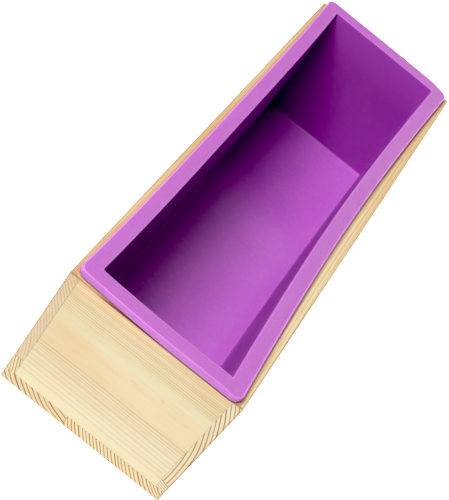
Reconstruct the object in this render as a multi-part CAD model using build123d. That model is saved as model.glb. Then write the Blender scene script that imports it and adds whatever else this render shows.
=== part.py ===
"""Soap loaf mould: a silicone liner with a flat flange, standing in an open pine box.

Frame, in millimetres: X across the box, Y along it with the front end at -Y, Z up.
The origin is the middle of the box's underside.

The box is two side boards and two end boards standing on a base board. Every board is
edge-glued from two staves, and the boards are held together by brads set just under the
surface. The end boards sit in shallow rabbets cut into the ends of the side boards. The
liner hangs in the box by its flange and lifts straight up out of it. Its long walls lean
inwards a little in the middle of their length, as soft silicone does.
"""
from build123d import *
import os

# ---- wooden box ----
BOX_WIDTH = 88.0
BOX_LENGTH = 280.0
BOX_HEIGHT = 79.4
BASE_T = 7.0
SIDE_T = 7.0
END_T = 5.0
RABBET_DEPTH = 2.0
ARRIS_R = 0.5
SEAM_EASE = 0.12

# height of each board's glue joint above the table, and the base's joint across the box
LEFT_JOINT_Z = 17.5
RIGHT_JOINT_Z = 13.4
FRONT_JOINT_Z = 32.5
REAR_JOINT_Z = 51.0
BASE_JOINT_X = -9.4

# ---- brads: a flat head on a square shank ----
BRAD_LENGTH = 18.0
BRAD_SHANK_W = 1.2
BRAD_SHANK_T = 1.0
BRAD_HEAD_W = 2.0
BRAD_HEAD_H = 0.6
BRAD_SET = 0.3
CORNER_BRAD_Z = (18.0, 43.0, 68.0)
SIDE_BRAD_Y = (-108.0, -36.0, 36.0, 108.0)
END_BRAD_X = (-24.0, 24.0)

# ---- silicone liner ----
FLANGE_T = 3.8
FLANGE_W = 83.4
FLANGE_LENGTH = 279.0
FLANGE_CORNER_R = 4.5
FLANGE_EDGE_R = 0.8
FLANGE_BOW_LEFT = 0.2
FLANGE_BOW_END = 0.5
CAVITY_W = 67.4
CAVITY_LENGTH = 263.0
CAVITY_DEPTH = 72.7
CAVITY_OFFSET_X = -0.5
CAVITY_END_DRAFT = 1.6
WALL_T = 2.2
FLOOR_T = 3.0
BOW_LEFT = 1.5
BOW_RIGHT = 4.3
BOW_END = 0.8
FLOOR_BOW_LEFT = 0.5
FLOOR_BOW_RIGHT = 1.4

# ---- worked out from the sizes above ----
HALF_W = BOX_WIDTH / 2
HALF_L = BOX_LENGTH / 2
INNER_X = HALF_W - SIDE_T
SEAM_X = INNER_X + RABBET_DEPTH
INNER_Y = HALF_L - END_T
RIM_Z = BOX_HEIGHT + FLANGE_T
CAVITY_FLOOR_Z = RIM_Z - CAVITY_DEPTH


def block(x0, x1, y0, y1, z0, z1):
    """A solid box between two opposite corners."""
    middle = Pos((x0 + x1) / 2, (y0 + y1) / 2, (z0 + z1) / 2)
    return middle * Box(abs(x1 - x0), abs(y1 - y0), abs(z1 - z0))


def same(value, target):
    """Whether two lengths agree to within a hair."""
    return abs(value - target) < 1e-4


def outer_faces_at(point):
    """How many of the box's outer faces a point lies on, the open top counted as one."""
    across = same(abs(point.X), HALF_W)
    along = same(abs(point.Y), HALF_L)
    upright = same(point.Z, 0) or same(point.Z, BOX_HEIGHT)
    return across + along + upright


def on_board_seam(point):
    """Whether a point lies where one board butts against another."""
    return same(abs(point.X), SEAM_X) or same(point.Z, BASE_T)


def ease_arrises(stave):
    """Round the stave's edges on the box's outer edges, and break its edges at butt joints."""
    outer = [edge for edge in stave.edges() if outer_faces_at(edge @ 0.5) >= 2]
    if outer:
        stave = fillet(outer, ARRIS_R)
    seams = [edge for edge in stave.edges() if outer_faces_at(edge @ 0.5) == 1 and on_board_seam(edge @ 0.5)]
    return chamfer(seams, SEAM_EASE) if seams else stave


def side_stave(sign, z0, z1):
    """A stave of a side board, with the shallow rabbets that take the end boards."""
    stave = block(sign * INNER_X, sign * HALF_W, -HALF_L, HALF_L, z0, z1)
    for end in (-1, 1):
        stave = stave - block(0, sign * SEAM_X, end * INNER_Y, end * (HALF_L + 1), z0 - 1, z1 + 1)
    return stave


def make_staves():
    """Every stave as a plain block with its outer arrises eased, by node name."""
    blocks = {
        "base_left_stave": block(-HALF_W, BASE_JOINT_X, -HALF_L, HALF_L, 0, BASE_T),
        "base_right_stave": block(BASE_JOINT_X, HALF_W, -HALF_L, HALF_L, 0, BASE_T),
    }
    for name, sign, joint_z in (("left", -1, LEFT_JOINT_Z), ("right", 1, RIGHT_JOINT_Z)):
        blocks[f"{name}_side_lower_stave"] = side_stave(sign, BASE_T, joint_z)
        blocks[f"{name}_side_upper_stave"] = side_stave(sign, joint_z, BOX_HEIGHT)
    for name, end, joint_z in (("front", -1, FRONT_JOINT_Z), ("rear", 1, REAR_JOINT_Z)):
        span = (-SEAM_X, SEAM_X, end * INNER_Y, end * HALF_L)
        blocks[f"{name}_end_lower_stave"] = block(*span, BASE_T, joint_z)
        blocks[f"{name}_end_upper_stave"] = block(*span, joint_z, BOX_HEIGHT)
    return {name: ease_arrises(stave) for name, stave in blocks.items()}


def make_brad():
    """A brad pointing down -Z, with the top of its head at the origin."""
    head = Box(BRAD_HEAD_W, BRAD_SHANK_T, BRAD_HEAD_H, align=(Align.CENTER, Align.CENTER, Align.MAX))
    shank = Box(BRAD_SHANK_W, BRAD_SHANK_T, BRAD_LENGTH, align=(Align.CENTER, Align.CENTER, Align.MAX))
    return head + shank


def make_recess():
    """The short pocket that the punch leaves above a brad's head."""
    return Box(BRAD_HEAD_W, BRAD_SHANK_T, BRAD_SET, align=(Align.CENTER, Align.CENTER, Align.MIN))


def brad_places():
    """Where each group of brads goes: node name to a list of locations."""
    end_y = HALF_L - END_T / 2
    side_x = HALF_W - SIDE_T / 2
    places = {}
    for end, y in (("front", -end_y), ("rear", end_y)):
        for side, sign in (("left", -1), ("right", 1)):
            x = sign * (HALF_W - BRAD_SET)
            turn = (0, sign * 90, 0)
            places[f"{end}_{side}_corner_brads"] = [Location((x, y, z), turn) for z in CORNER_BRAD_Z]
        places[f"{end}_base_brads"] = [Location((x, y, BRAD_SET), (180, 0, 0)) for x in END_BRAD_X]
    for side, x in (("left", -side_x), ("right", side_x)):
        turn = (180, 0, 90)
        places[f"{side}_base_brads"] = [Location((x, y, BRAD_SET), turn) for y in SIDE_BRAD_Y]
    return places


def bowed_outline(x0, x1, y0, y1, bow_left, bow_right, bow_end):
    """A closed face on the XY plane: long edges arched inwards, short edges outwards."""
    middle_x = (x0 + x1) / 2
    middle_y = (y0 + y1) / 2
    left = ThreePointArc((x0, y1), (x0 + bow_left, middle_y), (x0, y0))
    right = ThreePointArc((x1, y0), (x1 - bow_right, middle_y), (x1, y1))
    front = ThreePointArc((x0, y0), (middle_x, y0 - bow_end), (x1, y0))
    rear = ThreePointArc((x1, y1), (middle_x, y1 + bow_end), (x0, y1))
    return make_face([left, front, right, rear])


def make_cavity_form(grow, floor_z, top_z):
    """The tub's shape between two heights, every wall moved outwards by grow."""
    x0 = CAVITY_OFFSET_X - CAVITY_W / 2 - grow
    x1 = CAVITY_OFFSET_X + CAVITY_W / 2 + grow
    y1 = CAVITY_LENGTH / 2 + grow
    y_floor = y1 - CAVITY_END_DRAFT
    floor_bows = (FLOOR_BOW_LEFT, FLOOR_BOW_RIGHT, BOW_END)
    low = bowed_outline(x0, x1, -y_floor, y_floor, *floor_bows)
    high = bowed_outline(x0, x1, -y1, y1, BOW_LEFT, BOW_RIGHT, BOW_END)
    return loft([Pos(0, 0, floor_z) * low, Pos(0, 0, top_z) * high], ruled=True)


def make_flange():
    """The flat flange with rounded corners and an eased upper edge."""
    half_w = FLANGE_W / 2
    half_l = FLANGE_LENGTH / 2
    bows = (FLANGE_BOW_LEFT, BOW_RIGHT, FLANGE_BOW_END)
    outline = bowed_outline(-half_w, half_w, -half_l, half_l, *bows)
    outline = fillet(outline.vertices(), FLANGE_CORNER_R)
    plate = Pos(0, 0, BOX_HEIGHT) * extrude(outline, FLANGE_T)
    upper = plate.faces().sort_by(Axis.Z)[-1]
    return fillet(upper.edges(), FLANGE_EDGE_R)


def make_liner():
    """The silicone liner: a tub with a flange round its mouth."""
    tub = make_cavity_form(WALL_T, CAVITY_FLOOR_Z - FLOOR_T, BOX_HEIGHT)
    cavity = make_cavity_form(0, CAVITY_FLOOR_Z, RIM_Z)
    return make_flange() + tub - cavity


def main():
    os.makedirs("parts", exist_ok=True)
    staves = make_staves()
    brad = make_brad()
    punch = brad + make_recess()
    for node, locations in brad_places().items():
        brads = [place * brad for place in locations]
        export_step(Compound(children=brads), f"parts/{node}.step")
        for place in locations:
            for name in staves:
                staves[name] = staves[name] - place * punch
    for name, stave in staves.items():
        export_step(stave, f"parts/{name}.step")
    export_step(make_liner(), "parts/silicone_liner.step")


main()
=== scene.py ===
"""Soap loaf mould: a lilac silicone liner hanging by its flange in an open pine box.

The box's staves and brads are the frame's own pieces and are dressed here in pine and wire.
The liner is worked out here as one closed surface, because soft silicone has rounded lips,
leaning walls and a slightly wavy flange. Sizes are in millimetres unless a name says otherwise.
X runs across the box, Y along it from the front end to the rear end, and Z up.
"""
import logging
import math
from dataclasses import dataclass, field, replace
from enum import Enum
from typing import Dict, List, Mapping, Optional, Sequence, Tuple, Union

import bpy
import numpy as np
from mathutils import Matrix, Vector


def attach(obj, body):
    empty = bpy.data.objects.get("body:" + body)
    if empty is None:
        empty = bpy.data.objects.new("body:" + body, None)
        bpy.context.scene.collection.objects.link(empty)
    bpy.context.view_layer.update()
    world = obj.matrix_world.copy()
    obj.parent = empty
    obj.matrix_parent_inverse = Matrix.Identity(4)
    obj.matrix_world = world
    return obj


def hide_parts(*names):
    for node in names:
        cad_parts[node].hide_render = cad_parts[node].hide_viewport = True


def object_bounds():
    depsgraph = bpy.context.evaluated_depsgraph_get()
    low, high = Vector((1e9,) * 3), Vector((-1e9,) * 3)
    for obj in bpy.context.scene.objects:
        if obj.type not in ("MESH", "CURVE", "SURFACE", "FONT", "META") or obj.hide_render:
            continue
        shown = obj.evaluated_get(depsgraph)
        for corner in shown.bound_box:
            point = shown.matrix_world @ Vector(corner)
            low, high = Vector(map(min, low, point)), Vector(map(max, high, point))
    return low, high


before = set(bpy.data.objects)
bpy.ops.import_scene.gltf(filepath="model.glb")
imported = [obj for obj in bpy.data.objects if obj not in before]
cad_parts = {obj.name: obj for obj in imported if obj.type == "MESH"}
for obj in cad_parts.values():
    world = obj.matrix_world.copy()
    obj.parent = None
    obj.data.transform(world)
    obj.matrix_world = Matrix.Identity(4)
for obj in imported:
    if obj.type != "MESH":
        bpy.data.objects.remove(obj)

LOG = logging.getLogger("soap_loaf_mould")
CAD_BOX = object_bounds()
MM = 0.001

Colour = Tuple[float, float, float]
Triple = Tuple[float, float, float]
Span = Tuple[float, float]
Place = Tuple["Signal", "Signal", "Signal"]
Number = Union[float, "Signal"]
Setting = Union[str, int, float, bool, Sequence]


# ---------------------------------------------------------------- shader writing


class Signal:
    """A number or colour that varies over a surface, with arithmetic that adds Math nodes."""

    def __init__(self, shader: "Shader", socket: bpy.types.NodeSocket) -> None:
        """Wrap one output socket of a shader's tree."""
        self.shader = shader
        self.socket = socket

    def __add__(self, other: Number) -> "Signal":
        """Sum."""
        return self.shader.math("ADD", self, other)

    def __radd__(self, other: Number) -> "Signal":
        """Sum, with the plain number first."""
        return self.shader.math("ADD", other, self)

    def __sub__(self, other: Number) -> "Signal":
        """Difference."""
        return self.shader.math("SUBTRACT", self, other)

    def __rsub__(self, other: Number) -> "Signal":
        """Difference, with the plain number first."""
        return self.shader.math("SUBTRACT", other, self)

    def __mul__(self, other: Number) -> "Signal":
        """Product."""
        return self.shader.math("MULTIPLY", self, other)

    def __rmul__(self, other: Number) -> "Signal":
        """Product, with the plain number first."""
        return self.shader.math("MULTIPLY", other, self)

    def __truediv__(self, other: Number) -> "Signal":
        """Quotient."""
        return self.shader.math("DIVIDE", self, other)

    def __abs__(self) -> "Signal":
        """Size without sign."""
        return self.shader.math("ABSOLUTE", self)

    def whole(self) -> "Signal":
        """The whole part below the number."""
        return self.shader.math("FLOOR", self)

    def part(self) -> "Signal":
        """What is left above the whole part, from 0 to 1."""
        return self.shader.math("FRACT", self)

    def root(self) -> "Signal":
        """Square root."""
        return self.shader.math("SQRT", self)

    def lower(self, other: Number) -> "Signal":
        """The smaller of two numbers."""
        return self.shader.math("MINIMUM", self, other)

    def upper(self, other: Number) -> "Signal":
        """The larger of two numbers."""
        return self.shader.math("MAXIMUM", self, other)

    def rise(self, start: float, end: float) -> "Signal":
        """A soft step, which follows an S curve.

        Args:
            start: Up to where it is 0.
            end: From where on it is 1.

        Returns:
            The step, from 0 to 1.
        """
        settings = {"interpolation_type": "SMOOTHSTEP"}
        inputs = {"Value": self, "From Min": start, "From Max": end}
        return self.shader.signal("MapRange", "Result", settings, inputs)


class Shader:
    """One material's node tree and the few ways this file adds nodes to it."""

    def __init__(self, name: str) -> None:
        """Start an empty material.

        Args:
            name: The material's name.
        """
        self.material = bpy.data.materials.new(name)
        self.material.use_nodes = True
        self.tree = self.material.node_tree
        self.tree.nodes.clear()

    def node(
        self, kind: str, settings: Mapping[str, Setting], inputs: Mapping[str, object]
    ) -> bpy.types.Node:
        """Add a node.

        Args:
            kind: The node's type without its ShaderNode prefix.
            settings: The node's own properties, set first.
            inputs: Socket identifier to a Signal, which is linked, or a plain value.

        Returns:
            The new node.
        """
        made = self.tree.nodes.new("ShaderNode" + kind)
        for key, value in settings.items():
            setattr(made, key, value)
        sockets = {socket.identifier: socket for socket in made.inputs}
        for key, value in inputs.items():
            if isinstance(value, Signal):
                self.tree.links.new(value.socket, sockets[key])
            else:
                sockets[key].default_value = value
        return made

    def signal(
        self, kind: str, output: str, settings: Mapping[str, Setting], inputs: Mapping[str, object]
    ) -> Signal:
        """Add a node and wrap the output socket of that identifier."""
        made = self.node(kind, settings, inputs)
        return Signal(self, next(s for s in made.outputs if s.identifier == output))

    def math(self, operation: str, first: Number, second: Number = 0.0) -> Signal:
        """Add one Math node for an operation on one or two numbers."""
        inputs = {"Value": first, "Value_001": second}
        return self.signal("Math", "Value", {"operation": operation}, inputs)

    def axes(self, vector: Signal) -> Place:
        """Split a vector into its three numbers."""
        made = self.node("SeparateXYZ", {}, {"Vector": vector})
        return tuple(Signal(self, made.outputs[axis]) for axis in "XYZ")

    def place(self) -> Place:
        """Where a point of the piece lies, as X, Y and Z in millimetres."""
        inputs = {"Vector": self.signal("TexCoord", "Object", {}, {}), "Scale": 1 / MM}
        return self.axes(self.signal("VectorMath", "Vector", {"operation": "SCALE"}, inputs))

    def facing(self) -> Place:
        """Which way the surface faces in the piece's own axes, as X, Y and Z."""
        return self.axes(self.signal("TexCoord", "Normal", {}, {}))

    def attribute(self, name: str) -> Signal:
        """A number that the piece's mesh holds at every vertex."""
        return self.signal("Attribute", "Fac", {"attribute_name": name}, {})

    def noise(self, at: Sequence[Number], size: Triple, seed: float, detail: float = 2.0) -> Signal:
        """Cloudy noise.

        Args:
            at: The point, as three numbers in millimetres.
            size: The size of a blotch along each of them.
            seed: Moves the pattern, so that no two finishes repeat it.
            detail: How many finer layers the noise has.

        Returns:
            The noise, from 0 to 1 and centred on 0.5.
        """
        point = {key: value * (1 / length) + seed for key, value, length in zip("XYZ", at, size)}
        vector = self.signal("CombineXYZ", "Vector", {}, point)
        inputs = {"Vector": vector, "Scale": 1.0, "Detail": detail}
        return self.signal("TexNoise", "Fac", {}, inputs)

    def random(self, of: Signal, seed: float) -> Signal:
        """One random number from 0 to 1 for each value of a number."""
        return self.signal("TexWhiteNoise", "Value", {"noise_dimensions": "1D"}, {"W": of + seed})

    def mix(self, factor: Number, first: object, second: object, blend: str = "MIX") -> Signal:
        """Blend two colours.

        Args:
            factor: How much of the blend shows, 0 to 1.
            first: The colour underneath, a Signal or three numbers.
            second: The colour laid over it, of either kind too.
            blend: How it is laid over: MIX covers and MULTIPLY tints.

        Returns:
            The blended colour.
        """
        settings = {"data_type": "RGBA", "blend_type": blend}
        inputs = {"Factor_Float": factor, "A_Color": paint(first), "B_Color": paint(second)}
        return self.signal("Mix", "Result_Color", settings, inputs)

    def tinted(self, factor: Number, colour: Signal, tint: Colour) -> Signal:
        """Multiply a colour by a tint where the factor is 1, and leave it where it is 0."""
        return self.mix(factor, colour, tint, "MULTIPLY")

    def bump(self, height: Signal, depth: float, strength: float = 1.0) -> Signal:
        """Turn a height from 0 to 1, worth depth millimetres, into a surface direction."""
        inputs = {"Height": height, "Distance": depth * MM, "Strength": strength}
        return self.signal("Bump", "Normal", {}, inputs)

    def finish(self, inputs: Mapping[str, object]) -> bpy.types.Material:
        """Close the tree with a Principled surface.

        Args:
            inputs: The surface's socket identifiers to Signals or plain values.

        Returns:
            The finished material.
        """
        surface = self.signal("BsdfPrincipled", "BSDF", {}, inputs)
        self.node("OutputMaterial", {}, {"Surface": surface})
        return self.material


def paint(colour: object) -> object:
    """A plain colour as four numbers for a socket; a Signal passes through."""
    return colour if isinstance(colour, Signal) else (*colour, 1.0)


def shade(red: int, green: int, blue: int) -> Colour:
    """A colour read off a colour chart, 0 to 255, as the linear light that shaders use."""
    return tuple(linear_light(part / 255) for part in (red, green, blue))


def linear_light(part: float) -> float:
    """Undo the display curve of one colour part."""
    return part / 12.92 if part <= 0.04045 else ((part + 0.055) / 1.055) ** 2.4


def shifted(span: Span, by: float) -> Span:
    """Both ends of a span, moved up by a distance."""
    return by + span[0], by + span[1]


# ---------------------------------------------------------------- finishes


class Grain(Enum):
    """Which way a stave's fibres run."""

    ALONG_BOX = "Y"
    ACROSS_BOX = "X"


@dataclass(frozen=True)
class PineFinish:
    """Bare sanded pine, cut from one tree: growth rings round a pith line along the grain.

    The same rings show as lines on the long faces and as arcs on the end grain, because the
    pattern is worked out from the distance of each point to the pith line.

    Attributes:
        grain: Which way the fibres run.
        pith: Where the pith line passes, across the grain: level place and height.
        ring: Mean width of a year's growth.
        contrast: How dark the late wood is, 0 to 1.
        slope: How much the grain climbs for each millimetre along it.
        seed: Moves every random pattern.
        joint: Place of the glue line as an axis letter and a position, if the stave has one.
        tint: A colour that multiplies the whole stave, for a greyer or warmer plank.
        quiet: Heights between which the rings are too faint to see on the long faces.
        bands: Strips of other-coloured wood along the grain: from, to and the tint between.
        early_face, late_face: Early and late wood on the long faces.
        early_end, late_end: The same on the end grain.
        green_tone, tan_tone: Slow changes of tone from year to year.
        fibre_tone, duct_tone, cloud_tone: Fibre streaks, resin ducts and broad clouds.
        worn_tone: The outer arrises, worn by handling.
        under_flange_shade_tone: Painted shade under the flange, on the end boards' upper edge.
        top_tint, flange_edge_shade_tone: The board tops, and a painted pinkish shade on them beside
            the flange.
        glue_tone: The glue line.
        wander: How far the noise moves a ring.
        sway_size, lift_size: Size of that noise's blotches, for its level and its upright
            part. Like those below, they are given across the grain, along it and upright.
        ripple: How far a band's edge strays from its height.
        ripple_size, fibre_size, duct_size, cloud_size, wear_size: The other patterns' blotches.
        band_softness: Half the width over which a band fades.
        wear_reach: Distances from an arris at which the wear begins to fade and ends.
        under_flange_shade_start, under_flange_shade_end: Where across the box that painted shade
        fades in and out.
        under_flange_shade_climb, top_climb: Heights above the board tops between which the painted
        shade under the flange and the top tint fade in.
        flange_edge_shade_reach: Distances from the flange's edge at which that painted shade begins
            to fade and ends.
        glue_reach: The same for the glue line.
    """

    grain: Grain
    pith: Span
    ring: float
    contrast: float
    slope: float
    seed: float
    joint: Optional[Tuple[str, float]] = None
    tint: Colour = (1.0, 1.0, 1.0)
    quiet: Span = (-2.0, -1.0)
    bands: Tuple[Tuple[float, float, Colour], ...] = ()

    early_face: Colour = shade(206, 192, 160)
    late_face: Colour = shade(170, 142, 102)
    early_end: Colour = shade(210, 192, 154)
    late_end: Colour = shade(112, 66, 28)
    green_tone: Colour = shade(236, 228, 188)
    tan_tone: Colour = shade(238, 210, 164)
    fibre_tone: Colour = shade(206, 170, 118)
    duct_tone: Colour = shade(176, 124, 70)
    cloud_tone: Colour = shade(240, 222, 190)
    worn_tone: Colour = shade(166, 134, 110)
    under_flange_shade_tone: Colour = shade(136, 52, 66)
    top_tint: Colour = (1.0, 0.93, 0.8)
    flange_edge_shade_tone: Colour = shade(236, 172, 166)
    glue_tone: Colour = shade(168, 120, 72)

    wander: float = 3.4
    sway_size: Triple = (34.0, 190.0, 34.0)
    lift_size: Triple = (30.0, 150.0, 30.0)
    ripple: float = 3.0
    ripple_size: Triple = (9.0, 60.0, 9.0)
    fibre_size: Triple = (0.28, 16.0, 0.28)
    duct_size: Triple = (0.34, 7.0, 0.34)
    cloud_size: Triple = (22.0, 60.0, 22.0)
    wear_size: Triple = (3.0, 3.0, 3.0)
    band_softness: float = 1.5
    wear_reach: Span = (0.1, 0.9)
    under_flange_shade_start: Span = (-34.0, -22.0)
    under_flange_shade_end: Span = (34.0, 42.0)
    under_flange_shade_climb: Span = (-1.5, -0.5)
    top_climb: Span = (-0.5, -0.1)
    flange_edge_shade_reach: Span = (0.2, 1.8)
    glue_reach: Span = (0.05, 0.28)

    def turned(self, axes: Place) -> Place:
        """X, Y and Z put in the grain's order: across it, along it and upright."""
        x, y, z = axes
        return (x, y, z) if self.grain is Grain.ALONG_BOX else (y, x, z)

    def rings(self, shader: Shader, point: Place) -> Tuple[Signal, Signal, Signal]:
        """Growth rings: the distance to the pith line divided by the ring width.

        Args:
            shader: The tree to add to.
            point: Place across the grain, place along it, and height.

        Returns:
            How much late wood there is (0 to 1), the ring's number, and the distance in rings.
        """
        across, along, z = point
        sway = shader.noise(point, self.sway_size, self.seed, 1.0) - 0.5
        lift = shader.noise(point, self.lift_size, self.seed + 7.3, 2.0) - 0.5
        level = across - self.pith[0] + sway * self.wander
        height = z - self.pith[1] - along * self.slope + lift * self.wander
        distance = (level * level + height * height).root()
        drift = shader.noise((distance, along * 0.02, 0.0), (7.0, 7.0, 7.0), self.seed + 3.1, 1.0)
        years = distance / self.ring + drift * 1.1
        year = years.part()
        late = year.rise(0.42, 0.86) * (1.0 - year.rise(0.92, 1.0))
        return late, years.whole(), years

    def between(self, level: Signal, low: float, high: float) -> Signal:
        """1 between two heights and 0 outside them, with soft edges."""
        soft = self.band_softness
        return level.rise(low - soft, low + soft) * (1.0 - level.rise(high - soft, high + soft))

    def long_face(self, shader: Shader, point: Place, dark: Signal, years: Signal) -> Signal:
        """Colour of the long faces: ring lines, slow changes of tone, and bands.

        Args:
            shader: The tree to add to.
            point: Place across the grain, place along it, and height.
            dark: How strongly the late wood shows, 0 to 1.
            years: The distance to the pith line in rings.

        Returns:
            The colour.
        """
        _, along, z = point
        stray = shader.noise(point, self.ripple_size, self.seed + 29.0, 2.0) - 0.5
        level = z - along * self.slope + self.ripple * stray
        figure = 1.0 - self.between(level, *self.quiet)
        face = shader.mix(dark * figure * 0.8, self.early_face, self.late_face)
        slow = (years, along * 0.01, z * 0.02)
        tone = shader.noise(slow, (5.0, 2.0, 2.0), self.seed + 11.0, 1.0)
        toned = 0.25 + 0.75 * figure
        face = shader.tinted(tone.rise(0.52, 0.72) * toned * 0.4, face, self.green_tone)
        face = shader.tinted((1.0 - tone.rise(0.3, 0.5)) * toned * 0.35, face, self.tan_tone)
        for low, high, band_tint in self.bands:
            face = shader.tinted(self.between(level, low, high), face, band_tint)
        return face

    def edge_wear(self, place: Place) -> Signal:
        """Nearness to the box's outer arrises.

        It is worked out from the second smallest of the distances to the three outer planes.

        Args:
            place: X, Y and Z.

        Returns:
            1 on an arris, falling to 0 a little way in.
        """
        x, y, z = place
        high = CAD_BOX[1]
        to_side = high[0] / MM - abs(x)
        to_end = high[1] / MM - abs(y)
        to_level = z.lower(PineBox.height - z)
        second = to_side.lower(to_end).upper(to_side.upper(to_end).lower(to_level))
        return 1.0 - second.rise(*self.wear_reach)

    def beside_flange(self, shader: Shader, x: Signal, y: Signal) -> Signal:
        """Nearness to the flange's long edges, bowed as SiliconeLiner.bow has them.

        Args:
            shader: The tree to add to.
            x: Place across the box.
            y: Place along the box.

        Returns:
            1 at an edge, falling to 0 a little way off.
        """
        liner = SiliconeLiner
        share = abs(y) / (PineBox.length / 2)
        slack_left = liner.bow_left * (1.0 - shader.math("POWER", share, 4.0))
        slack_right = liner.bow_right * shader.math("COSINE", y * (math.pi / PineBox.length))
        off_left = liner.flange_left + slack_left - x
        off_right = x - (liner.flange_right - slack_right)
        return 1.0 - abs(off_left.upper(off_right)).rise(*self.flange_edge_shade_reach)

    def marked(self, shader: Shader, clean: Signal, place: Place, facing: Place) -> Signal:
        """Marks of use, and painted shade: worn arrises, golden board tops, and painted shade under
        and beside the flange.

        Args:
            shader: The tree to add to.
            clean: The colour of the clean wood.
            place: X, Y and Z.
            facing: Which way the surface faces.

        Returns:
            The colour with the marks.
        """
        x, y, z = place
        spots = shader.noise(self.turned(place), self.wear_size, 2.0, 2.0)
        colour = shader.tinted(self.edge_wear(place) * (0.4 + 0.55 * spots), clean, self.worn_tone)
        # Painted shade under the flange: a dark line along the end boards' upper edge
        under_flange_shade = z.rise(*shifted(self.under_flange_shade_climb, PineBox.height))
        under_flange_shade = under_flange_shade * abs(facing[1]).rise(0.3, 0.6)
        under_flange_shade = under_flange_shade * x.rise(*self.under_flange_shade_start) * (1.0 - x.rise(*self.under_flange_shade_end))
        colour = shader.tinted(under_flange_shade * 0.85, colour, self.under_flange_shade_tone)
        high_up = z.rise(*shifted(self.top_climb, PineBox.height))
        topmost = facing[2].rise(0.7, 0.9) * high_up
        colour = shader.tinted(topmost, colour, self.top_tint)
        # Painted pinkish shade on the board tops along the flange's long edges
        beside = self.beside_flange(shader, x, y)
        return shader.tinted(beside * topmost * 0.5, colour, self.flange_edge_shade_tone)

    def material(self, name: str) -> bpy.types.Material:
        """Build the finish.

        Args:
            name: The material's name.

        Returns:
            The material.
        """
        shader = Shader(name)
        place, facing = shader.place(), shader.facing()
        point = self.turned(place)
        end_grain = abs(self.turned(facing)[1]).rise(0.55, 0.8)
        late, year_number, years = self.rings(shader, point)
        vigour = 0.65 + 0.35 * shader.random(year_number, self.seed)
        face = self.long_face(shader, point, late * vigour * self.contrast, years)
        crisp = late.rise(0.3, 0.85) * vigour * self.contrast
        end = shader.mix(crisp, self.early_end, self.late_end)
        colour = shader.tinted(1.0, shader.mix(end_grain, face, end), self.tint)

        fibre = shader.noise(point, self.fibre_size, self.seed + 5.0, 3.0)
        colour = shader.tinted(fibre.rise(0.52, 0.8) * 0.28, colour, self.fibre_tone)
        duct = shader.noise(point, self.duct_size, self.seed + 17.0, 0.0).rise(0.79, 0.86)
        colour = shader.mix(duct * (1.0 - end_grain) * 0.5, colour, self.duct_tone)
        cloud = shader.noise(point, self.cloud_size, self.seed + 23.0, 2.0)
        colour = shader.tinted(cloud.rise(0.45, 0.75) * 0.35, colour, self.cloud_tone)
        colour = self.marked(shader, colour, place, facing)
        if self.joint:
            axis, position = self.joint
            off_line = abs(place["XYZ".index(axis)] - position)
            glued = (1.0 - off_line.rise(*self.glue_reach)) * 0.55
            colour = shader.mix(glued, colour, self.glue_tone)

        height = 0.55 * fibre + 0.45 * late + 0.3 * duct
        return shader.finish(
            {
                "Base Color": colour,
                "Roughness": 0.58 + 0.16 * fibre - 0.08 * late,
                "Normal": shader.bump(height, 0.06, 0.6),
                "Specular IOR Level": 0.35,
                "Subsurface Weight": 0.4,
                "Subsurface Radius": (1.0, 0.72, 0.45),
                "Subsurface Scale": 0.0025,
            }
        )


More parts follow.
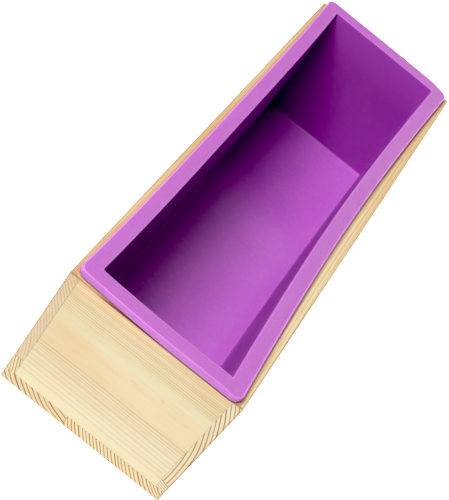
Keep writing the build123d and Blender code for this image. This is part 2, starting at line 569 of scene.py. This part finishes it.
@dataclass(frozen=True)
class SiliconeFinish:
    """Lilac silicone: a satin flange with a fine speckle, and a cavity with a moulded gloss.

    Attributes:
        colour, deep, pale: The lilac, and the deeper and paler lilac of its clouds.
        lip: A painted highlight on the thin rounded edges.
        upper_wall_light: Painted light on the upper part of the cavity's walls.
        wall_shade_tint: Painted shade on the cavity's walls.
        shaded_tint: Painted shade on its left wall, strongest at the front.
        flange_foot_shade: Painted shade along the flange's lower edge, where it sits on the boards.
        rim_roughness, floor_roughness, wall_roughness: How rough each part is.
        cloud_size, mottle_size, speckle_size: Blotches of the three patterns.
        painted_light_across, painted_light_along: Where painted light pales the flange, towards the
        rear right.
        upper_wall_light_above_floor: Height above the cavity's floor at which that painted light
            comes in.
        upper_wall_light_above_box: Height above the board tops by which it is full.
        shaded_rear: How far along the box the deeper tint reaches.
        shaded_climb: Heights above the cavity's floor between which it comes in.
        flange_foot_shade_climb, flange_foot_shade_end: Heights above the board tops between which
        that painted shade comes in and goes out.
    """

    colour: Colour = shade(168, 92, 176)
    deep: Colour = shade(156, 80, 168)
    pale: Colour = shade(176, 113, 178)
    lip: Colour = shade(220, 166, 222)
    upper_wall_light: Colour = shade(180, 92, 190)
    wall_shade_tint: Colour = shade(234, 208, 236)
    shaded_tint: Colour = (0.45, 0.45, 0.45)
    flange_foot_shade: Colour = shade(112, 44, 62)
    rim_roughness: float = 0.42
    floor_roughness: float = 0.13
    wall_roughness: float = 0.5
    cloud_size: Triple = (18.0, 26.0, 18.0)
    mottle_size: Triple = (2.6, 2.6, 2.6)
    speckle_size: Triple = (0.45, 0.45, 0.45)
    painted_light_across: Span = (-20.0, 60.0)
    painted_light_along: Span = (-60.0, 160.0)
    upper_wall_light_above_floor: float = 45.0
    upper_wall_light_above_box: float = 4.0
    shaded_rear: float = 150.0
    shaded_climb: Span = (1.0, 30.0)
    flange_foot_shade_climb: Span = (-0.3, -0.1)
    flange_foot_shade_end: Span = (0.2, 0.9)

    def shaded(self, point: Place, facing_x: Signal) -> Signal:
        """Painted shade on the cavity's left wall, fading out towards the rear and the floor.

        Args:
            point: X, Y and Z.
            facing_x: How much the surface faces to the right.

        Returns:
            1 where the tint is full, and 0 where there is none.
        """
        _, y, z = point
        climb = shifted(self.shaded_climb, SiliconeLiner.floor_level)
        fore = 1.0 - y.rise(SiliconeLiner.cavity_front, self.shaded_rear)
        return facing_x.rise(0.3, 0.8) * fore * z.rise(*climb)

    def flange_foot_band(self, z: Signal) -> Signal:
        """1 in a thin band at the height of the board tops, and 0 above and below it."""
        end = shifted(self.flange_foot_shade_end, PineBox.height)
        return z.rise(*shifted(self.flange_foot_shade_climb, PineBox.height)) * (1.0 - z.rise(*end))

    def material(self, name: str, polish_attribute: str, highlight_attribute: str) -> bpy.types.Material:
        """Build the finish.

        Args:
            name: The material's name.
            polish_attribute: The piece's own attribute that is 1 where the mould was polished.
            highlight_attribute: The piece's own attribute that says how much painted highlight a
                thin edge gets.

        Returns:
            The material.
        """
        shader = Shader(name)
        point = shader.place()
        polish, lip = shader.attribute(polish_attribute), shader.attribute(highlight_attribute)
        satin_part = 1.0 - polish
        facing_x, _, facing_z = shader.facing()
        hanging = 1.0 - abs(facing_z).rise(0.7, 0.95)
        cloud = shader.noise(point, self.cloud_size, 1.7, 3.0)
        mottle = shader.noise(point, self.mottle_size, 9.2, 3.0)
        speckle = shader.noise(point, self.speckle_size, 4.4, 2.0)
        colour = shader.mix(cloud.rise(0.35, 0.7) * 0.35, self.colour, self.deep)
        colour = shader.mix(mottle.rise(0.5, 0.72) * 0.22, colour, self.pale)
        # Painted light: the flange grows paler towards the rear right, on top of the speckle's own
        # chalky satin
        far_right_light = 0.7 * point[0].rise(*self.painted_light_across) * point[1].rise(*self.painted_light_along)
        chalk_and_light = 0.3 + 0.5 * speckle.rise(0.35, 0.65) + far_right_light
        colour = shader.mix(satin_part * chalk_and_light, colour, self.pale)
        # Painted shade: the cavity's walls darker than its floor
        colour = shader.tinted(hanging * polish, colour, self.wall_shade_tint)
        # Painted light on the cavity's walls, growing towards the lip
        upper_wall_light_from = SiliconeLiner.floor_level + self.upper_wall_light_above_floor
        lipward = point[2].rise(upper_wall_light_from, PineBox.height + self.upper_wall_light_above_box)
        colour = shader.mix(lipward * hanging * polish * 0.7, colour, self.upper_wall_light)
        # Painted shade on the cavity's left wall
        colour = shader.tinted(self.shaded(point, facing_x) * polish, colour, self.shaded_tint)
        # Painted highlight on the thin rounded edges
        colour = shader.mix(lip * 0.5, colour, self.lip)
        # Painted shade along the flange's lower edge, on the boards
        flange_foot_shade_mask = self.flange_foot_band(point[2]) * hanging * satin_part * 0.7
        colour = shader.mix(flange_foot_shade_mask, colour, self.flange_foot_shade)

        satin = self.rim_roughness + 0.12 * (mottle - 0.5)
        tilted = 1.0 - abs(facing_z).rise(0.97, 0.999)
        gloss = self.floor_roughness + (self.wall_roughness - self.floor_roughness) * tilted
        gloss = gloss + 0.08 * (cloud - 0.5) + 0.05 * (mottle - 0.5)
        grit = speckle * (1.0 - 0.9 * polish) + 0.2 * mottle
        return shader.finish(
            {
                "Base Color": colour,
                "Roughness": satin * satin_part + gloss * polish,
                "Normal": shader.bump(grit, 0.03, 0.4),
                "IOR": 1.43,
                "Subsurface Weight": 0.45,
                "Subsurface Radius": (1.0, 0.25, 1.0),
                "Subsurface Scale": 0.004,
            }
        )


@dataclass(frozen=True)
class WireFinish:
    """Drawn steel wire with a little tarnish, for the brads.

    Attributes:
        bright, tarnish: The clean and the stained metal.
        stain_size, drawn_size: Blotches of the stains and of the drawing marks.
    """

    bright: Colour = shade(186, 182, 174)
    tarnish: Colour = shade(126, 112, 96)
    stain_size: Triple = (1.1, 1.1, 1.1)
    drawn_size: Triple = (0.12, 0.12, 0.9)

    def material(self, name: str) -> bpy.types.Material:
        """Build the finish.

        Args:
            name: The material's name.

        Returns:
            The material.
        """
        shader = Shader(name)
        point = shader.place()
        stain = shader.noise(point, self.stain_size, 3.0, 3.0)
        drawn = shader.noise(point, self.drawn_size, 6.0, 2.0)
        inputs = {
            "Base Color": shader.mix(stain.rise(0.4, 0.7) * 0.7, self.bright, self.tarnish),
            "Metallic": 1.0 - 0.3 * stain,
            "Roughness": 0.34 + 0.25 * stain,
            "Normal": shader.bump(drawn, 0.02, 0.5),
        }
        return shader.finish(inputs)


# ---------------------------------------------------------------- meshes


def grid_mesh(name: str, rings: np.ndarray) -> bpy.types.Mesh:
    """A closed skin through a stack of closed rings, with a fan over the first and the last.

    Vertex (i, j) of the grid is point j of ring i. Every ring joins on to itself, and each
    end ring closes on its own middle point. Faces look outwards where the rings run
    anticlockwise, seen from the side that the stack grows towards on its outer wall.

    Args:
        name: The mesh's name.
        rings: Array (number of rings, points in a ring, 3), in metres.

    Returns:
        The mesh, shaded smooth.
    """
    count, around = rings.shape[:2]
    first = rings[0].mean(axis=0)
    last = rings[-1].mean(axis=0)
    points = np.vstack([rings.reshape(-1, 3), first, last])
    i, j = np.meshgrid(np.arange(count - 1), np.arange(around), indexing="ij")
    following = (j + 1) % around
    here, ahead = i * around, (i + 1) * around
    corners = (here + j, here + following, ahead + following, ahead + j)
    quads = np.stack(corners, axis=-1).reshape(-1, 4)
    edge = np.arange(around)
    step = (edge + 1) % around
    low = np.stack([np.full(around, count * around), step, edge], axis=-1)
    top = (count - 1) * around
    high = np.stack([np.full(around, count * around + 1), top + edge, top + step], axis=-1)
    mesh = bpy.data.meshes.new(name)
    mesh.from_pydata(points.tolist(), [], quads.tolist() + low.tolist() + high.tolist())
    mesh.polygons.foreach_set("use_smooth", np.ones(len(mesh.polygons), dtype=bool))
    mesh.update()
    return mesh


@dataclass(frozen=True)
class Ring:
    """A rectangle with rounded corners whose sides are bowed, at one height.

    Attributes:
        left, right, front, rear: Where the four sides lie before they are bowed.
        corner: Radius of the corners.
        height: Height of the ring.
        lean: How far the sides are bowed, 0 to 1: 1 at the lip and less lower down.
    """

    left: float
    right: float
    front: float
    rear: float
    corner: float
    height: float
    lean: float

    def inset(self, by: float, height: float, corner: float) -> "Ring":
        """The same ring made smaller, at another height.

        Args:
            by: How far every side moves inwards.
            height: The new ring's height.
            corner: Its corners' radius.

        Returns:
            The new ring.
        """
        return replace(
            self,
            left=self.left + by,
            right=self.right - by,
            front=self.front + by,
            rear=self.rear - by,
            corner=corner,
            height=height,
        )


def ring_outline(ring: Ring, long_steps: int, short_steps: int, corner_steps: int) -> np.ndarray:
    """Points round a rounded rectangle, anticlockwise seen from above, from the front left.

    Each side is divided evenly between its corners' tangent points, and each corner is a
    quarter circle, so that point j of one ring lies beside point j of the next.

    Args:
        ring: The rectangle.
        long_steps: Divisions of a long side.
        short_steps: Divisions of a short side.
        corner_steps: Divisions of a corner.

    Returns:
        Array (number of points, 2) of X and Y in millimetres.
    """
    radius = ring.corner
    centres = np.array(
        [
            (ring.right - radius, ring.front + radius),
            (ring.right - radius, ring.rear - radius),
            (ring.left + radius, ring.rear - radius),
            (ring.left + radius, ring.front + radius),
        ]
    )
    turns = np.linspace(0.0, np.pi / 2, corner_steps + 1)
    starts = np.array([-np.pi / 2, 0.0, np.pi / 2, np.pi])
    angles = starts[:, None] + turns[None, :]
    arcs = centres[:, None, :] + radius * np.stack([np.cos(angles), np.sin(angles)], axis=-1)
    before = np.roll(arcs[:, -1], 1, axis=0)
    pieces = []
    for corner, steps in enumerate((short_steps, long_steps, short_steps, long_steps)):
        share = np.linspace(0.0, 1.0, steps + 1)[1:-1, None]
        pieces.append(before[corner] + (arcs[corner, 0] - before[corner]) * share)
        pieces.append(arcs[corner])
    return np.vstack(pieces)


def fillet_path(radius: float, steps: int, start: float) -> Tuple[np.ndarray, np.ndarray]:
    """A quarter circle from a start angle, as radius times its cosines and its sines."""
    angle = start + np.linspace(0.0, np.pi / 2, steps + 1)
    return radius * np.cos(angle), radius * np.sin(angle)


# ---------------------------------------------------------------- the object's pieces


@dataclass
class SiliconeLiner:
    """The loose liner: a tub with a flat flange, made as one closed silicone skin.

    Attributes:
        floor_level: Height of the cavity's floor to the nearest half, for the finish.
        body, node: The frame's body and plain piece that the liner belongs to.
        flange_left, flange_right, flange_front, flange_rear: The flange's sides.
        flange_corner, flange_thickness: Its corners' radius and its thickness.
        lip_radius, under_radius: Rounding of its upper and lower outer edges.
        cavity_left, cavity_right, cavity_front, cavity_rear: The cavity's sides at the mouth.
        cavity_depth, cavity_corner: Its depth and its corners' radius.
        mouth_radius, floor_radius: Rounding of the mouth's edge and round the floor.
        front_draft, rear_draft: How far the end walls draw in down to the floor.
        wall, floor_thickness, heel_radius: The tub's thicknesses and its heel's rounding.
        bow_left, bow_right, bow_front, bow_rear: How far each side is bowed at the mouth.
        skew_front, skew_rear: How far an end's right corner is moved along the box. Its
            left corner is moved as far the other way.
        floor_lean: Share of the bows that is left at the floor.
        seat_gap: Play between the flange and the board tops.
        end_lift, right_sag: How far the ends curl up and the right edge sags.
        long_steps, short_steps, corner_steps: Divisions of the sides and the corners.
        outer_rows, inner_rows: Rows of faces up the outer and the inner walls.
        polish_attribute, highlight_attribute: Names of the numbers stored for the finish.
        mouth_highlight: The mouth's edge's painted highlight, as a share of the flange's outer
            edge's.
        finish: The silicone.
    """

    floor_level: float = 10.5
    body: str = "liner"
    node: str = "silicone_liner"
    flange_left: float = -42.15
    flange_right: float = 41.25
    flange_front: float = -139.75
    flange_rear: float = 139.35
    flange_corner: float = 4.2
    flange_thickness: float = 3.7
    lip_radius: float = 0.4
    under_radius: float = 0.6
    cavity_left: float = -34.55
    cavity_right: float = 33.2
    cavity_front: float = -131.8
    cavity_rear: float = 131.45
    cavity_depth: float = 72.7
    cavity_corner: float = 0.9
    mouth_radius: float = 0.35
    floor_radius: float = 1.1
    front_draft: float = 1.8
    rear_draft: float = 2.7
    wall: float = 2.2
    floor_thickness: float = 2.9
    heel_radius: float = 2.6
    bow_left: float = 1.65
    bow_right: float = 4.3
    bow_front: float = 1.1
    bow_rear: float = 0.3
    skew_front: float = -1.0
    skew_rear: float = -0.85
    floor_lean: float = 0.34
    seat_gap: float = 0.06
    end_lift: float = 0.42
    right_sag: float = 1.0
    long_steps: int = 120
    short_steps: int = 40
    corner_steps: int = 7
    outer_rows: int = 14
    inner_rows: int = 16
    polish_attribute: str = "polish"
    highlight_attribute: str = "lip"
    mouth_highlight: float = 0.3
    finish: SiliconeFinish = field(default_factory=SiliconeFinish)

    def flange_ring(self, by: float, height: float) -> Ring:
        """The flange's outline.

        Args:
            by: How far it is moved inwards.
            height: Its height.

        Returns:
            The ring.
        """
        sides = (self.flange_left, self.flange_right, self.flange_front, self.flange_rear)
        outline = Ring(*sides, self.flange_corner, height, 1.0)
        return outline.inset(by, height, max(self.flange_corner - by, 0.3))

    def tub_ring(self, out: float, height: float, corner: float) -> Ring:
        """The tub's outline at a height, moved outwards from the cavity's wall by a distance.

        The end walls draw in towards the floor, and every wall is bowed less lower down.

        Args:
            out: The distance outwards.
            height: The ring's height.
            corner: Its corners' radius.

        Returns:
            The ring.
        """
        down = min(max((self.lip_height - height) / self.cavity_depth, 0.0), 1.0)
        lean = 1.0 - (1.0 - self.floor_lean) * down**0.8
        return Ring(
            self.cavity_left - out,
            self.cavity_right + out,
            self.cavity_front + self.front_draft * down - out,
            self.cavity_rear - self.rear_draft * down + out,
            corner,
            height,
            lean,
        )

    @property
    def seat_height(self) -> float:
        """Height of the flange's underside, on top of the box."""
        return PineBox.height + self.seat_gap

    @property
    def lip_height(self) -> float:
        """Height of the flange's upper face."""
        return PineBox.height + self.flange_thickness

    def profile(self) -> List[Ring]:
        """The rings in order: underside, outer wall, flange, mouth, inner wall and floor."""
        floor = self.lip_height - self.cavity_depth
        return self.outer_rings(floor - self.floor_thickness) + self.inner_rings(floor)

    def outer_rings(self, under: float) -> List[Ring]:
        """The rings from the underside up the outer wall and round the flange's edge.

        Args:
            under: Height of the tub's underside.

        Returns:
            The rings in order.
        """
        seat, lip, heel = self.seat_height, self.lip_height, self.heel_radius
        inner = self.wall - heel
        rings = [self.spread_ring(under, share, inner, 1.0) for share in (0.25, 0.6, 0.9)]
        for across, up in zip(*fillet_path(heel, 6, -np.pi / 2)):
            out = inner + across
            corner = self.cavity_corner + max(self.wall + out, 0.6)
            rings.append(self.tub_ring(out, under + heel + up, corner))
        outer_corner = self.cavity_corner + self.wall
        for height in np.linspace(under + heel + 4.0, seat - 0.8, self.outer_rows):
            rings.append(self.tub_ring(self.wall, float(height), outer_corner))
        rings.append(self.tub_ring(self.wall + 0.25, seat - 0.2, outer_corner))
        rings.append(self.tub_ring(self.wall + 0.7, seat, outer_corner + 0.5))
        rings += [self.flange_ring(inset, seat) for inset in (2.2, 1.2)]
        for across, up in zip(*fillet_path(self.under_radius, 5, -np.pi / 2)):
            height = seat + self.under_radius + up
            rings.append(self.flange_ring(self.under_radius - across, height))
        rings.append(self.flange_ring(0.0, lip - 0.5 * self.flange_thickness))
        for across, up in zip(*fillet_path(self.lip_radius, 7, 0.0)):
            rings.append(self.flange_ring(self.lip_radius - across, lip - self.lip_radius + up))
        return rings

    def inner_rings(self, floor: float) -> List[Ring]:
        """The rings over the flange's upper face, down the inner wall and across the floor.

        Args:
            floor: Height of the cavity's floor.

        Returns:
            The rings in order.
        """
        lip, corner = self.lip_height, self.cavity_corner
        rings = [self.flange_ring(self.lip_radius + inset, lip) for inset in (0.5, 1.6)]
        rings.append(self.tub_ring(2.6, lip, corner + 1.2))
        rings.append(self.tub_ring(1.2, lip, corner + 0.5))
        for across, up in zip(*fillet_path(self.mouth_radius, 4, np.pi / 2)):
            height = lip - self.mouth_radius + up
            rings.append(self.tub_ring(self.mouth_radius + across, height, corner))
        for height in np.linspace(lip - 1.2, floor + self.floor_radius + 1.0, self.inner_rows):
            rings.append(self.tub_ring(0.0, float(height), corner))
        for across, up in zip(*fillet_path(self.floor_radius, 6, np.pi)):
            inwards = self.floor_radius + across
            rings.append(self.tub_ring(-inwards, floor + self.floor_radius + up, corner))
        for share in (0.97, 0.9, 0.7, 0.4, 0.12):
            rings.append(self.spread_ring(floor, share, -self.floor_radius - 0.2, 0.4))
        return rings

    def spread_ring(self, height: float, share: float, out: float, corner: float) -> Ring:
        """A level ring that fills a share of the tub's outline, for the floor and the underside.

        Args:
            height: The ring's height.
            share: The share of the outline, 0 to 1.
            out: How far the full outline is moved outwards from the cavity's wall.
            corner: The full outline's corner radius.

        Returns:
            The ring.
        """
        full = self.tub_ring(out, height, corner)
        middle_x = (full.left + full.right) / 2
        middle_y = (full.front + full.rear) / 2
        return replace(
            full,
            left=middle_x + (full.left - middle_x) * share,
            right=middle_x + (full.right - middle_x) * share,
            front=middle_y + (full.front - middle_y) * share,
            rear=middle_y + (full.rear - middle_y) * share,
            corner=corner * share,
        )

    def bow(self, points: np.ndarray, lean: np.ndarray) -> np.ndarray:
        """Move points as the slack walls do.

        Across, a point moves by the left wall's bow at the left and the right wall's bow at
        the right, mixed in proportion between them. The right bow is a half sine along the
        box; the left one is flat in the middle, as 1 - u**4 with u from -1 to 1. Along, the
        same is done with the end walls' bows, plus a skew that grows across.

        Args:
            points: Array (..., 2) of X and Y.
            lean: How far the walls are bowed at each point, 0 to 1.

        Returns:
            The moved points.
        """
        x, y = points[..., 0], points[..., 1]
        across = np.clip((x - self.flange_left) / (self.flange_right - self.flange_left), 0.0, 1.0)
        along = np.clip((y - self.flange_front) / (self.flange_rear - self.flange_front), 0.0, 1.0)
        swell_left = 1 - (2 * along - 1) ** 4
        swell_right = np.sin(np.pi * along)
        swell_across = np.sin(np.pi * across)
        outermost = np.clip((across - 0.1) / 0.8, 0.0, 1.0)
        pull_left = self.bow_left * swell_left * (1 - outermost)
        pull_right = self.bow_right * swell_right * outermost
        move_x = lean * (pull_left - pull_right)
        front = -self.bow_front * swell_across + self.skew_front * (2 * across - 1)
        rear = self.bow_rear * swell_across + self.skew_rear * (2 * across - 1)
        move_y = lean * (front * (1 - along) + rear * along)
        return np.stack([x + move_x, y + move_y], axis=-1)

    def settle(self, x: np.ndarray, y: np.ndarray, height: np.ndarray) -> np.ndarray:
        """Heights of the skin's points once the flange has settled.

        The flange waves along the box as the sum of two sines, and its right edge sags by
        the square of the place across it. Both fade out down its thickness. Its ends curl
        up as the eighth power of the place along the box.

        Args:
            x: Places across the box.
            y: Places along the box.
            height: Heights before.

        Returns:
            Heights after.
        """
        on_flange = np.clip((height - self.seat_height) / self.flange_thickness, 0.0, 1.0)
        wave = 0.06 * np.sin(y / 17.0 + 0.6) + 0.04 * np.sin(y / 7.3 + x / 11.0) + 0.04
        curl = self.end_lift * (y / self.flange_front) ** 8
        sag = self.right_sag * np.clip((x - self.cavity_right + 4.5) / 8.0, 0.0, 1.0) ** 2
        return height + on_flange * (wave - sag) + (height > self.seat_height - 0.5) * curl

    def mesh(self) -> bpy.types.Mesh:
        """Stack the profile's rings into one closed skin, bowed and very slightly wavy.

        Returns:
            The mesh, with the numbers that the finish reads.
        """
        profile = self.profile()
        steps = (self.long_steps, self.short_steps, self.corner_steps)
        flat = np.array([ring_outline(ring, *steps) for ring in profile])
        around = flat.shape[1]
        lean = np.array([ring.lean for ring in profile])[:, None]
        height = np.repeat(np.array([ring.height for ring in profile])[:, None], around, axis=1)
        bowed = self.bow(flat, lean)
        x, y = bowed[..., 0], bowed[..., 1]
        rings = np.stack([x, y, self.settle(x, y, height)], axis=-1) * MM
        mesh = grid_mesh("silicone_liner_skin", rings)
        tops = [index for index, ring in enumerate(profile) if ring.height > self.lip_height - 1e-6]
        order = np.arange(len(profile))
        # Painted highlight: full on the flange's outer upper edge, fainter on the mouth's edge
        outer_edge = (order == tops[0]) | (order == tops[0] - 1)
        inner_edge = (order == tops[-1]) | (order == tops[-1] + 1)
        self.mark(mesh, self.polish_attribute, order > tops[-1], around)
        self.mark(mesh, self.highlight_attribute, outer_edge + self.mouth_highlight * inner_edge, around)
        return mesh

    def mark(self, mesh: bpy.types.Mesh, attribute: str, rings: np.ndarray, around: int) -> None:
        """Store one number for each ring on all of its vertices.

        Args:
            mesh: The skin.
            attribute: The name under which the numbers are stored.
            rings: A number for each ring. The fans' tips take the first and the last.
            around: How many vertices a ring has.
        """
        values = np.concatenate([np.repeat(rings, around), rings[:1], rings[-1:]])
        stored = mesh.attributes.new(attribute, "FLOAT", "POINT")
        stored.data.foreach_set("value", values.astype(np.float32))

    def build(self) -> bpy.types.Object:
        """Make the liner, dress it and hang it on its body in place of the frame's plain one.

        Returns:
            The liner.
        """
        mesh = self.mesh()
        names = (self.polish_attribute, self.highlight_attribute)
        mesh.materials.append(self.finish.material("lilac_silicone", *names))
        piece = bpy.data.objects.new("loaf_liner", mesh)
        bpy.context.scene.collection.objects.link(piece)
        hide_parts(self.node)
        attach(piece, self.body)
        return piece


@dataclass
class PineBox:
    """The open box: ten pine staves and the brads that hold them.

    Attributes:
        height, length: The box's height without the liner, and its length.
        base_joint: Where across the box the base's glue joint runs.
        left_joint, right_joint, front_joint, rear_joint: Heights of the boards' glue joints.
        cool, grey, light, bright: Tints of whole staves.
        peach, green, tan, cream: Tints of bands in the front staves.
    """

    height: float = 79.4
    length: float = 280.0
    base_joint: float = -9.4
    left_joint: float = 17.5
    right_joint: float = 13.4
    front_joint: float = 32.5
    rear_joint: float = 51.0
    cool: Colour = (0.95, 0.94, 0.94)
    grey: Colour = (0.86, 0.84, 0.88)
    light: Colour = (0.98, 1.04, 1.15)
    bright: Colour = (1.0, 1.04, 1.1)
    peach: Colour = (1.09, 1.0, 1.0)
    green: Colour = (0.97, 1.0, 1.0)
    tan: Colour = (1.0, 0.955, 0.92)
    cream: Colour = (1.0, 1.0, 0.96)

    def base_finishes(self) -> Dict[str, PineFinish]:
        """The base's two staves, by the frame's node name."""
        long, joint = Grain.ALONG_BOX, ("X", self.base_joint)
        return {
            "base_left_stave": PineFinish(
                long, (6.0, 43.0), 2.4, 0.95, 0.0, 1.0, joint, self.cool
            ),
            "base_right_stave": PineFinish(
                long, (80.0, 45.0), 1.8, 0.95, 0.0, 2.0, joint
            ),
        }

    def side_finishes(self) -> Dict[str, PineFinish]:
        """The side boards' four staves.

        Returns:
            Their finishes, by the frame's node name.
        """
        long = Grain.ALONG_BOX
        left, right = ("Z", self.left_joint), ("Z", self.right_joint)
        grey, light = self.grey, self.light
        return {
            "left_side_lower_stave": PineFinish(
                long, (-130.0, -4.0), 1.31, 0.9, 0.01, 3.0, left
            ),
            "left_side_upper_stave": PineFinish(
                long, (-130.0, 4.0), 1.53, 0.3, 0.02, 4.0, left, grey
            ),
            "right_side_lower_stave": PineFinish(
                long, (20.0, -60.0), 1.35, 0.85, 0.01, 5.0, right, light
            ),
            "right_side_upper_stave": PineFinish(
                long, (-76.0, 20.0), 1.75, 0.75, -0.01, 6.0, right, light
            ),
        }

    def end_finishes(self) -> Dict[str, PineFinish]:
        """The end boards' four staves.

        Returns:
            Their finishes, by the frame's node name.
        """
        cross = Grain.ACROSS_BOX
        front, rear = ("Z", self.front_joint), ("Z", self.rear_joint)
        lower_bands = ((7.0, 13.0, self.cream),)
        upper_bands = ((73.5, 90.0, self.peach), (54.5, 61.5, self.green), (35.0, 54.5, self.tan))
        front_lower = {"tint": self.bright, "quiet": (7.0, 13.0), "bands": lower_bands}
        front_upper = {"quiet": (37.5, 61.0), "bands": upper_bands}
        return {
            "front_end_lower_stave": PineFinish(
                cross, (-100.0, -25.0), 2.2, 0.45, 0.0, 7.0, front, **front_lower
            ),
            "front_end_upper_stave": PineFinish(
                cross, (-120.0, 22.0), 1.2, 0.8, 0.02, 8.0, front, **front_upper
            ),
            "rear_end_lower_stave": PineFinish(
                cross, (100.0, 110.0), 1.9, 0.45, 0.02, 9.0, rear
            ),
            "rear_end_upper_stave": PineFinish(
                cross, (118.0, 70.0), 1.5, 0.45, -0.03, 10.0, rear
            ),
        }

    def build(self) -> List[bpy.types.Object]:
        """Dress every stave and every group of brads of the frame.

        Returns:
            The dressed pieces.
        """
        finishes = {**self.base_finishes(), **self.side_finishes(), **self.end_finishes()}
        dressed = []
        for node, finish in finishes.items():
            dressed.append(dress(node, finish.material("pine_" + node)))
        wire = WireFinish().material("brad_wire")
        for node in sorted(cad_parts):
            if node.endswith("brads"):
                dressed.append(dress(node, wire))
        return dressed


def dress(node: str, material: bpy.types.Material) -> bpy.types.Object:
    """Give one of the frame's own pieces a material in every slot.

    Args:
        node: The piece's node name.
        material: The material.

    Returns:
        The piece.
    """
    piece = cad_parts[node]
    for slot in piece.material_slots:
        slot.material = material
    return piece


# ---------------------------------------------------------------- studio


@dataclass(frozen=True)
class Softbox:
    """A rectangular light.

    Attributes:
        name: Its name.
        place: Where its middle is, in metres.
        at: The point that it faces, in metres.
        size: Its width and height in metres.
        watts: Its power.
    """

    name: str
    place: Triple
    at: Triple
    size: Span
    watts: float

    def build(self) -> None:
        """Add the light to the scene, turned to face its point."""
        lamp = bpy.data.lights.new(self.name, "AREA")
        lamp.shape = "RECTANGLE"
        lamp.size, lamp.size_y = self.size
        lamp.energy = self.watts
        holder = bpy.data.objects.new(self.name, lamp)
        towards = Vector(self.at) - Vector(self.place)
        turn = towards.to_track_quat("-Z", "Y").to_matrix().to_4x4()
        holder.matrix_world = Matrix.Translation(self.place) @ turn
        bpy.context.scene.collection.objects.link(holder)


@dataclass
class Studio:
    """A pale table, three soft lights and the camera.

    Attributes:
        key: A large light high on the left.
        rear_card: A card behind, which the cavity's floor reflects.
        side_card: A card behind on the right. It is no higher than the box, so that it
            lights the right and rear boards but neither the flange nor the cavity.
        table_size_m, table_drop: The table's width, and how far it lies under the box.
        table_glow: How strongly the table is lit from itself, to keep shadows faint.
        table_colour, table_spot, cloud_mm: The table's colour, its clouds' and their size.
        sky, black_level: Light from all round, and the brightness that shows as black.
        lens_mm, sensor_mm: The camera's lens, and its sensor's height.
        aim: The point that the camera looks at, in millimetres.
        elevation, roll: How steeply it looks down, and how far it is turned, in degrees.
        distance: How far it stands from that point, in millimetres.
    """

    key: Softbox = Softbox("key_softbox", (-0.92, -0.8, 2.2), (0.0, 0.0, 0.06), (1.6, 1.6), 111.0)
    rear_card: Softbox = Softbox("rear_card", (1.42, 2.2, 1.7), (1.42, 0.0, 0.06), (3.0, 1.4), 10.0)
    side_card: Softbox = Softbox("side_card", (1.5, 1.1, 0.04), (0.0, 0.0, 0.04), (1.6, 0.07), 24.0)
    table_size_m: float = 12.0
    table_drop: float = 0.1
    table_glow: float = 1.0
    table_colour: Colour = (0.6, 0.6, 0.6)
    table_spot: Colour = (0.9, 0.9, 0.9)
    cloud_mm: float = 900.0
    sky: float = 0.02
    black_level: float = 0.03
    lens_mm: float = 94.48
    sensor_mm: float = 36.0
    aim: Triple = (-1.5, -28.6, 39.7)
    elevation: float = 41.94
    roll: float = 38.67
    distance: float = 629.8

    def table(self) -> bpy.types.Object:
        """Lay a flat pale table under the box.

        Returns:
            The table, which belongs to the stage and not to the object.
        """
        half, drop = self.table_size_m / 2, -self.table_drop * MM
        corners = [(-half, -half), (half, -half), (half, half), (-half, half)]
        mesh = bpy.data.meshes.new("table")
        mesh.from_pydata([(x, y, drop) for x, y in corners], [], [(0, 1, 2, 3)])
        shader = Shader("pale_table")
        cloud = shader.noise(shader.place(), (self.cloud_mm,) * 3, 1.0, 1.0)
        inputs = {
            "Base Color": shader.mix(cloud * 0.2, self.table_colour, self.table_spot),
            "Roughness": 0.9,
            "Specular IOR Level": 0.0,
            "Emission Color": (1.0, 1.0, 1.0, 1.0),
            "Emission Strength": self.table_glow,
        }
        mesh.materials.append(shader.finish(inputs))
        table = bpy.data.objects.new("table", mesh)
        bpy.context.scene.collection.objects.link(table)
        return table

    def lights(self) -> None:
        """Add the three lights, a faint light from all round, and the display's black level."""
        for light in (self.key, self.rear_card, self.side_card):
            light.build()
        world = bpy.data.worlds.new("studio_air")
        world.use_nodes = True
        background = world.node_tree.nodes["Background"]
        background.inputs["Color"].default_value = (1.0, 1.0, 1.0, 1.0)
        background.inputs["Strength"].default_value = self.sky
        bpy.context.scene.world = world
        view = bpy.context.scene.view_settings
        view.view_transform = "Standard"
        view.use_curve_mapping = True
        view.curve_mapping.black_level = (self.black_level,) * 3
        view.curve_mapping.update()

    def camera(self) -> bpy.types.Object:
        """Add a long lens that looks down along the box over its front end, rolled to the left.

        Returns:
            The camera.
        """
        data = bpy.data.cameras.new("camera")
        data.sensor_fit = "VERTICAL"
        data.sensor_height = self.sensor_mm
        data.lens = self.lens_mm
        data.clip_start = 0.01
        tilt, turn = math.radians(self.elevation), math.radians(self.roll)
        forward = Vector((0.0, math.cos(tilt), -math.sin(tilt)))
        level = Vector((1.0, 0.0, 0.0))
        upward = level.cross(forward)
        right = level * math.cos(turn) + upward * math.sin(turn)
        up = upward * math.cos(turn) - level * math.sin(turn)
        place = Vector(self.aim) * MM - forward * self.distance * MM
        columns = Matrix((right, up, -forward)).transposed().to_4x4()
        camera = bpy.data.objects.new("camera", data)
        camera.matrix_world = Matrix.Translation(place) @ columns
        bpy.context.scene.collection.objects.link(camera)
        bpy.context.scene.camera = camera
        return camera


# ---------------------------------------------------------------- assembly


def main() -> None:
    """Build the studio and the object's pieces in order, and report each."""
    logging.basicConfig(level=logging.INFO, format="%(message)s")
    studio = Studio()
    LOG.info("camera %s", studio.camera().name)
    studio.lights()
    LOG.info("stage %s", studio.table().name)
    liner = SiliconeLiner().build()
    LOG.info("piece %s: %d vertices", liner.name, len(liner.data.vertices))
    for piece in PineBox().build():
        LOG.info("piece %s", piece.name)


if __name__ == "__main__":
    main()
